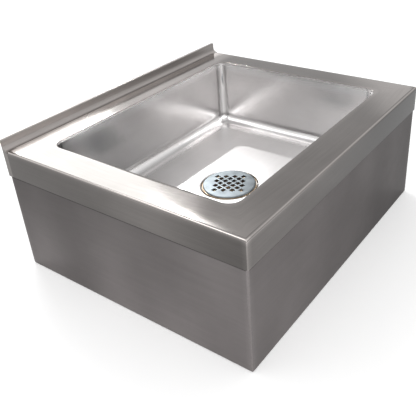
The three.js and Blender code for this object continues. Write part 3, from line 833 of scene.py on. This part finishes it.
def bowl_look(face, outline):
    """The bowl's layers. Its rim is dressed and its floor a little matt, and painted shade and painted
    highlights make its polish look uneven.
    """
    rows = np.arange(len(face))[:, None]
    step = rows - COVE_START
    to_recess = RECESS_START - rows
    x, y = face[..., 0], face[..., 1]
    across, depth = x - AXIS[0], y - AXIS[1]
    side = np.repeat(range(4), face.shape[1] // 4)
    wall = rows < COVE_START
    dressed = ease(rows, 4, 3) * (1 - ease(rows, 11, 2))
    matt = 0.06 * ease(rows, FLOOR_START, 6) * ease(to_recess, 0, 3)

    # Painted shade: the cove's two edges are made darker, and so are the floor away from the drain, its left
    # part and the left of the back wall. A painted highlight makes the right wall lighter.
    tone = 1 - 0.4 * bell(step, 10.5, 3.0) - 0.2 * bell(step, 1.0, 2.5)
    floor = 0.61 + 0.36 * bell(np.hypot(across, depth), 0.0, 0.115) - 0.21 * ease(-across, 0.08, 0.16)
    tone = tone * (1 + (floor - 1) * ease(step, 14, 5) * ease(to_recess, 0, 3))
    back_wall_shade = ease(-across, -0.14, 0.30) * (depth > 0) * (side == BACK)
    tone *= 1 - 0.5 * (back_wall_shade - 0.5 * (side == RIGHT)) * wall
    back_left = ease(-x, -outline.low[0] - 0.085, 0.07) * ease(y, outline.high[1] - 0.04, 0.03)
    tone *= 1 - 0.7 * back_left * wall

    # The upright corners have a painted highlight up the middle between two bands of painted shade, and are
    # less rough there. near is in degrees.
    normal = outline.normals()
    turned_by = (np.degrees(np.arctan2(normal[:, 1], normal[:, 0])) - 45) % 90
    near = np.minimum(turned_by, 90 - turned_by)
    corner = 0.25 * bell(near, 0, 5) - 0.4 * bell(near, 22, 10) * (near < 44.9)
    upright = (rows >= 9) * (1 - ease(step, 4, 6))
    tone *= 1 + corner * upright
    matt = matt - 0.13 * ease(44 - near, 0, 12) * upright
    return {"dressed": dressed, "matt": matt, "tone": tone}


class SINK_OT_skirt(bpy.types.Operator):
    """Four skirt panels with flanges, and the ground welds up their corners"""

    bl_idname = "sink.skirt"
    bl_label = "Skirt"

    def execute(self, context):
        d, s = context.scene.sink_deck, context.scene.sink_skirt
        low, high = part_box("front_skirt")[0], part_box("back_skirt")[1]
        left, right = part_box("left_skirt")[0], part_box("right_skirt")[1]
        outline = Outline([left[0], low[1]], [right[0], high[1]], s.corner, 8, 60)
        half = d.sheet / 2
        top = high[2] - half
        corners = [(s.foot_flange, half), (half, half), (half, top), (s.top_flange, top)]
        radii = [s.foot_bend + half, s.bend + half]
        seam = deck_top(d) - d.apron
        by_seam = seam / top + np.linspace(-0.026, 0.006, 15)
        lines = [dense(bent_line(corners, radii, offset), 40, by_seam) for offset in (half, -half)]
        for k, name in enumerate(["front", "right", "back", "left"]):
            panel = skirt_panel(outline, k, *lines, s, seam)
            finished(name + "_panel", panel, "sink", "skirt_brushed", "sheet_steel", name + "_skirt")
        finished("corner_welds", corner_welds(outline, d, s, top), "sink", "skirt_weld", "sheet_steel")
        return {"FINISHED"}


def dense(line, steps, extra):
    """A line with its longest span divided into even steps, and at some extra shares of its way."""
    longest = int(np.argmax(np.diff(lengths(line))))
    share = np.sort(np.concatenate([np.linspace(0, 1, steps + 1)[1:-1], extra]))[:, None]
    between = line[longest] + (line[longest + 1] - line[longest]) * share
    return np.concatenate([line[: longest + 1], between, line[longest + 1 :]])


def skirt_panel(outline, k, face_line, back_line, s, seam):
    """A bent panel carried along one side, mitred at both ends and waved a little out of flat.

    The wave is greatest in the middle of the panel and none at its bends and ends."""
    face, grain = carried(outline, [k], face_line)
    back, _ = carried(outline, [k], back_line)
    height = face[..., 2] / face[..., 2].max()
    run = (grain[..., 0] - grain[..., 0].min()) / np.ptp(grain[..., 0])
    fade = np.sin(np.pi * np.clip(height, 0, 1)) * ease(run * 12) * ease((1 - run) * 12)
    wave = np.minimum((ripple(face, 0.22, 11 + k) - 0.6) * s.ripple * fade, 0.0)
    for grid in (face, back):
        grid[..., :2] += OUTWARD[k] * wave[..., None]
    dressed = 0.7 * (1 - ease(np.minimum(run, 1 - run) * 60))
    # Painted shadow: a dark line where the panel goes up behind the apron. Painted light makes the panel
    # lighter towards its foot. Painted shade makes the front darker towards its right end and the left side
    # darker towards its top and the wall, with a painted highlight low in its middle. The ripple is the sheet's
    # own uneven tone.
    tone = 1 - 0.65 * bell(face[..., 2], seam - 0.0022, 0.0013)
    tone *= 1 + 0.15 * (1 - ease(height * 1.3)) + 0.10 * ripple(face * [1, 1, 0.3], 0.13, 31 + k)
    if k == FRONT:
        tone *= 1.15 - 0.55 * ease(run, 0.05, 0.95)
    if k == LEFT:
        tone *= 1.12 - 0.14 * height - (0.14 + 0.28 * height) * ease(run * 1.2)
        tone *= 1 + 0.3 * (1 - height) * bell(run, 0.45, 0.22)
    return sheet_shell(face, back, grain, dressed=dressed, tone=tone)


def corner_welds(outline, d, s, top):
    """Four upright bands over the panels' mitres: the corner's quarter round and a little flat beside it,
    a tenth of a millimetre proud, with a ragged edge."""
    height = np.linspace(d.sheet + s.foot_bend, top - s.bend, 90)
    reach = np.linspace(-1, 1, 25)
    spread = reach * 1.6  # The round takes it from -1 to 1, and the flats take the rest.
    beyond = np.sign(reach) * np.clip(np.abs(spread) - 1, 0, None) / 0.6
    flat_width, ragged_by = 0.0008, 0.0005
    outside, inside = 0.00008 - 0.0001 * reach**8, np.full(len(reach), -0.0004)
    grain = np.stack(np.meshgrid(height, reach * 0.01), axis=2)
    shells = []
    for k in range(4):
        normal = unit(np.radians(225 + 90 * k + 45 * np.clip(spread, -1, 1)))
        tangent = normal[:, ::-1] * [-1, 1]
        centre = outline.round_centre(k, 0.0, outline.radius)
        up = np.column_stack([height, height * 0, height * 0 + k])
        ragged = beyond[:, None] * (flat_width + ragged_by * ripple(up, 0.035, 23 + k))
        grids = []
        for proud in (outside, inside):
            plan = centre + normal * (outline.radius + proud)[:, None]
            grid = np.empty((len(reach), len(height), 3))
            grid[..., :2] = plan[:, None] + tangent[:, None] * ragged[..., None]
            grid[..., 2] = height
            grids.append(grid)
        shells.append(sheet_shell(*grids, grain, dressed=1.0))
    return joined(shells)


class SINK_OT_strainer(bpy.types.Operator):
    """Round strainer plate with a lattice of square holes and a turned-down rim"""

    bl_idname = "sink.strainer"
    bl_label = "Strainer"

    def execute(self, context):
        s = context.scene.sink_strainer
        radius = (PLATE_HIGH[0] - PLATE_LOW[0]) / 2
        top, foot = PLATE_HIGH[2], PLATE_LOW[2]
        span = range(-s.reach, s.reach + 1)
        cells = [(i * s.pitch, j * s.pitch) for i in span for j in span if abs(i) + abs(j) <= s.reach]
        shells = [hole_cell(x, y, s, top) for x, y in cells]
        shells.append(strainer_rim(s, radius, top, foot))
        points, faces, layers = joined(shells)
        cos, sin = math.cos(s.turn), math.sin(s.turn)
        plan = points[:, :2] @ np.array([[cos, sin], [-sin, cos]])
        # The stamped plate is darker towards its right, and stained.
        layers["tone"] = 1 - 0.3 * (plan[:, 0] - plan[:, 1]) / radius + 0.12 * ripple(points, 0.03, 41)
        shell = (np.column_stack([plan + AXIS, points[:, 2]]), faces, layers)
        finished("strainer_disc", shell, "strainer", "strainer_stamped", "strainer_steel", "strainer_plate")
        return {"FINISHED"}


def square_loop(x, y, half, corner=0.0):
    """Points round a square, anticlockwise from its lower left corner and back to it.

    Each point is drawn onto the rounded square along the line to the square's core."""
    t = np.linspace(-1, 1, CELL_STEPS + 1)[:-1]
    one = np.ones(CELL_STEPS)
    sides = [(t, -one), (one, t), (-t, one), (-one, -t)]
    loop = np.concatenate([np.column_stack(side) for side in sides] + [[[-1, -1]]]) * half
    core = np.clip(loop, corner - half, half - corner)
    away = loop - core
    size = np.linalg.norm(away, axis=1, keepdims=True)
    return core + away / np.maximum(size, 1e-9) * np.minimum(size, corner) + [x, y]


def hole_cell(x, y, s, top):
    """One cell of the lattice: from the cell's square edge in to the hole, round its rolled edge, down through
    the plate and back out underneath. Each row is given as its share of the way out from the hole to the cell's
    edge, how much wider than the hole it is, its height and how far it is dressed."""
    low = top - s.thickness
    rows = [(1.0, 0.0, top, 0.0), (0.55, 0.0, top, 0.0)]
    rows += [(0.0, s.roll - r, z, 0.8) for r, z in arc(0, top - s.roll, s.roll, 90, 0, 4)]
    rows += [(share, 0.0, low, 0.0) for share in (0.0, 0.5, 1.0)]
    cell = square_loop(x, y, s.pitch / 2)
    grid = []
    for share, wider, z, _ in rows:
        hole = square_loop(x, y, s.hole / 2 + wider, s.hole_corner + wider)
        grid.append(at_height(hole + (cell - hole) * share, z))
    grid = np.array(grid)
    return grid_shell(grid, grid[..., :2], dressed=np.array(rows)[:, 3:])


def stepped_loop(s):
    """The stepped edge of the lattice, anticlockwise, cut as finely as the cells are."""
    quarter = [(s.reach + 0.5, -0.5), (s.reach + 0.5, 0.5)]
    for i in range(s.reach):
        quarter += [(s.reach - 0.5 - i, 0.5 + i), (s.reach - 0.5 - i, 1.5 + i)]
    corners = []
    for cos, sin in ((1, 0), (0, 1), (-1, 0), (0, -1)):
        corners += [(x * cos - y * sin, x * sin + y * cos) for x, y in quarter[:-1]]
    corners = np.array(corners + corners[:1]) * s.pitch
    t = np.linspace(0, 1, CELL_STEPS + 1)[:-1, None]
    loop = (corners[:-1, None] + np.diff(corners, axis=0)[:, None] * t).reshape(-1, 2)
    return np.concatenate([loop, loop[:1]])


def strainer_rim(s, radius, top, foot):
    """The blank margin from the lattice's stepped edge out to the bend, the turned-down rim and the underside.

    The margin is a straight blend of the stepped edge and a circle, and the rim is a section turned about the
    plate's axis."""
    loop = stepped_loop(s)
    ring = unit(np.arctan2(loop[:, 1], loop[:, 0]))
    outer_bend = s.bend + s.thickness
    flat = radius - outer_bend
    section = [
        *arc(flat, top - outer_bend, outer_bend, 90, 0, 8)[1:],
        (radius, foot),
        (radius - s.thickness, foot),
        *arc(flat, top - outer_bend, s.bend, 0, 90, 6),
    ]
    grid = [at_height(loop + (ring * flat - loop) * t, top) for t in np.linspace(0, 1, 9)]
    grid += [at_height(ring * r, z) for r, z in section]
    grid += [at_height(loop + (ring * flat - loop) * t, top - s.thickness) for t in np.linspace(1, 0, 5)[1:]]
    grid = np.array(grid)
    dressed = np.zeros((len(grid), 1))
    dressed[10:16] = 0.5  # The outside of the bend.
    return grid_shell(grid, grid[..., :2], dressed=dressed)


class SINK_OT_drain(bpy.types.Operator):
    """Cast drain body with its flange, throat and threaded tail"""

    bl_idname = "sink.drain"
    bl_label = "Drain"

    def execute(self, context):
        flange = (DRAIN_HIGH[0] - DRAIN_LOW[0]) / 2
        shell = drain_body(flange, DRAIN_HIGH[2], DRAIN_LOW[2])
        finished("drain_casting", shell, "sink", "brass_cast", "brass", "drain_body")
        return {"FINISHED"}


def drain_body(flange, top, foot):
    """The casting's section turned about the drain's axis. On the tail's outside the radius also follows a
    triangle wave of height less the share of a turn, which is a screw thread."""
    throat, tail, bore, outlet = 0.0355, 0.0395, 0.034, 0.0308  # Radii.
    thick, lip, seat, step, plain = 0.0022, 0.003, 0.014, 0.0012, 0.004  # Heights.
    bevel, chamfer, nick, soft = 0.0007, 0.0008, 0.0003, 0.0002  # Broken edges.
    pitch, thread_depth = 0.0022, 0.0009
    ledge = foot + lip + nick + seat
    thread_low, thread_high = foot + 0.001, top - thick - plain
    section = np.concatenate(
        [
            [(outlet, foot), (tail - chamfer, foot), (tail, foot + chamfer)],
            [(tail, z) for z in np.linspace(thread_low, thread_high, 150)],
            [(tail, top - thick), (flange - nick, top - thick), (flange, top - thick + nick)],
            arc(flange - bevel, top - bevel, bevel, 0, 90, 5),
            arc(throat + bevel, top - bevel, bevel, 90, 180, 5),
            [(throat, ledge + soft), (throat - soft, ledge), (bore + soft, ledge - soft)],
            [(bore, ledge - step), (bore, foot + lip), (outlet, foot + lip), (outlet, foot)],
        ]
    )
    radius, height = section[:, :1], section[:, 1:]
    angle = np.linspace(0, 2 * math.pi, 129)
    wave = np.abs(2 * ((height / pitch - angle / (2 * math.pi)) % 1) - 1)
    threaded = (np.abs(radius - tail) < 1e-9) & (height > thread_low) & (height < thread_high)
    radius = radius - thread_depth * wave * threaded
    height = np.repeat(height, len(angle), 1)
    grid = np.stack([AXIS[0] + radius * np.cos(angle), AXIS[1] + radius * np.sin(angle), height], axis=2)
    return grid_shell(grid, np.stack([np.tile(angle * tail, (len(section), 1)), height], axis=2))


class SINK_OT_carried_over(bpy.types.Operator):
    """Materials of the CAD nodes that stay as they are"""

    bl_idname = "sink.carried_over"
    bl_label = "Channels, gussets, washers, nuts and clips"

    def execute(self, context):
        corners = ("front_left", "front_right", "back_right", "back_left")
        finishes = {
            "sheet_mill": ["left_channel", "right_channel", *("gusset_" + corner for corner in corners)],
            "rubber_black": ["flange_seal", "rubber_washer", "pipe_gasket"],
            "fibre_pressed": ["friction_washer"],
            "brass_cast": ["locknut", "compression_nut"],
            "clip_spring": ["strainer_clip_1", "strainer_clip_2"],
        }
        for finish, names in finishes.items():
            for name in names:
                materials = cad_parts[name].data.materials
                materials.clear()
                materials.append(finish_named(finish))
        return {"FINISHED"}


# ---------- Stage ----------


def bearing(azimuth, elevation):
    """The unit vector at an azimuth from +X towards +Y and an elevation, in degrees."""
    azimuth, elevation = math.radians(azimuth), math.radians(elevation)
    flat = math.cos(elevation)
    return np.array([math.cos(azimuth) * flat, math.sin(azimuth) * flat, math.sin(elevation)])


def hang(data, azimuth, elevation, distance, roll=0.0):
    """A lamp at a bearing and distance from the lit point, which it faces, turned about its own axis by a roll.

    A lamp shines along its -Z. Its X is level, and its Y is as near to up as it can be."""
    back = bearing(azimuth, elevation)
    right = np.cross([0, 0, 1], back)
    right /= np.linalg.norm(right)
    up = np.cross(back, right)
    lamp = bpy.data.objects.new(data.name, data)
    rows = np.column_stack([right, up, back, LIT_POINT + back * distance]).tolist()
    lamp.matrix_world = Matrix([*rows, (0, 0, 0, 1)]) @ Matrix.Rotation(math.radians(roll), 4, "Z")
    bpy.context.scene.collection.objects.link(lamp)


def add_panel(name, azimuth, elevation, distance, spread, radiance, tint=(1.0, 1.0, 1.0), roll=0.0):
    """A rectangular lamp that fills a spread of degrees, as seen from the sink, and faces it.

    Its power is radiance times pi times its area."""
    data = bpy.data.lights.new(name, "AREA")
    data.shape = "RECTANGLE"
    data.size, data.size_y = (2 * distance * math.tan(math.radians(angle / 2)) for angle in spread)
    data.energy = radiance * math.pi * data.size * data.size_y
    data.color = tint
    hang(data, azimuth, elevation, distance, roll)


def add_snooted(name, azimuth, elevation, distance, beam, light):
    """A snooted spot with a beam that is as wide as the bowl.

    The light on the bowl is its power over 4 pi times the distance squared."""
    data = bpy.data.lights.new(name, "SPOT")
    data.energy = light * 4 * math.pi * distance**2
    data.spot_size, data.spot_blend = 2 * math.atan(beam / distance), 0.3
    data.shadow_soft_size = 0.035
    hang(data, azimuth, elevation, distance)


def add_floor(g):
    """A flat disc of rings about the origin. Seen by the camera or mirrored it is a little lighter than it is
    to other rays, so that the backdrop is white."""
    turn = np.linspace(0, 2 * math.pi, 97)
    grid = np.array([at_height(unit(turn) * reach, 0.0) for reach in (0.0, 0.6, 1.5, 4.0, 12.0, 40.0)])
    floor = mesh_piece("studio_floor", *grid_shell(grid, grid[..., :2]))
    if floor.data.polygons[0].normal.z < 0:
        floor.data.flip_normals()
    material = bpy.data.materials.new("floor_pale")
    n = Nodes(material, "Principled BSDF")
    n.surface(
        {
            "Base Color": (*g.floor, 1.0),
            "Roughness": 0.9,
            "Specular IOR Level": 0.1,
            "Emission Color": WHITE,
            "Emission Strength": n.maths("MULTIPLY", n.seen(), 0.14),
        }
    )
    floor.data.materials.append(material)


def add_camera(scene):
    """The camera, worked out from the photograph's own perspective for a picture of 416 by 416."""
    azimuth, elevation, roll = -53.2106, 29.4925, math.radians(-3.3970)
    focal, centre_x, centre_y, width = 587.5985, 234.8194, 174.7690, 416
    place = (-0.8348, -0.6437, 0.7169)
    back, right = bearing(azimuth - 90, elevation), bearing(azimuth, 0)
    up = np.cross(back, right)
    turned_right = right * math.cos(roll) + up * math.sin(roll)
    turned_up = up * math.cos(roll) - right * math.sin(roll)
    data = bpy.data.cameras.new("camera")
    data.sensor_width = 36.0
    data.lens = focal * data.sensor_width / width
    data.shift_x = (width / 2 - centre_x) / width
    data.shift_y = (centre_y - width / 2) / width
    camera = bpy.data.objects.new("camera", data)
    rows = np.column_stack([turned_right, turned_up, back, place]).tolist()
    camera.matrix_world = Matrix([*rows, (0, 0, 0, 1)])
    scene.collection.objects.link(camera)
    scene.camera = camera


class SINK_OT_stage(bpy.types.Operator):
    """Pale floor, even surround, soft lamps and the camera"""

    bl_idname = "sink.stage"
    bl_label = "Stage"

    def execute(self, context):
        scene = context.scene
        g = scene.sink_stage
        add_floor(g)
        # The surround lights the floor at its own strength, and the camera and mirrored rays see it white.
        scene.world = bpy.data.worlds.new("studio_surround")
        n = Nodes(scene.world, "Background")
        n.surface({"Color": WHITE, "Strength": n.between(n.seen(), 0.0, 1.0, g.surround)})
        add_panel("low_panel", 60.4, 32.4, 6.0, (22, 30), g.low_panel, tint=(0.97, 1.0, 0.99), roll=20)
        add_panel("left_strip", 120, 52, 4.0, (36, 8), g.left_strip)
        add_panel("front_strip", -130, 45, 4.0, (60, 14), g.front_strip)
        add_snooted("high_lamp", 48, 41, 3.0, 0.27, g.high_lamp)
        add_camera(scene)
        scene.view_settings.view_transform = "Standard"
        return {"FINISHED"}


class SINK_PT_panel(bpy.types.Panel):
    """Sizes, colours and pieces of the sink"""

    bl_idname = "SINK_PT_panel"
    bl_label = "Mop Service Sink"
    bl_space_type = "VIEW_3D"
    bl_region_type = "UI"
    bl_category = "Sink"

    def draw(self, context):
        layout = self.layout
        for key in GROUPS:
            box = layout.box()
            box.label(text=key.removeprefix("sink_").title())
            for name in GROUPS[key].__annotations__:
                box.prop(getattr(context.scene, key), name)
        for operator in OPERATORS:
            layout.operator(operator.bl_idname)


GROUPS = {
    "sink_deck": DeckSizes,
    "sink_bowl": BowlSizes,
    "sink_skirt": SkirtSizes,
    "sink_strainer": StrainerSizes,
    "sink_colours": FinishColours,
    "sink_stage": StageSettings,
}
OPERATORS = (
    SINK_OT_deck,
    SINK_OT_bowl,
    SINK_OT_skirt,
    SINK_OT_strainer,
    SINK_OT_drain,
    SINK_OT_carried_over,
    SINK_OT_stage,
)


def register():
    for cls in (*GROUPS.values(), *OPERATORS, SINK_PT_panel):
        bpy.utils.register_class(cls)
    for key, cls in GROUPS.items():
        setattr(bpy.types.Scene, key, PointerProperty(type=cls))


def unregister():
    for key in GROUPS:
        delattr(bpy.types.Scene, key)
    for cls in reversed((*GROUPS.values(), *OPERATORS, SINK_PT_panel)):
        bpy.utils.unregister_class(cls)


def main():
    register()
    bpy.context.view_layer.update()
    bpy.ops.sink.deck()
    bpy.ops.sink.bowl()
    bpy.ops.sink.skirt()
    bpy.ops.sink.strainer()
    bpy.ops.sink.drain()
    bpy.ops.sink.carried_over()
    bpy.ops.sink.stage()


if __name__ == "__main__":
    main()
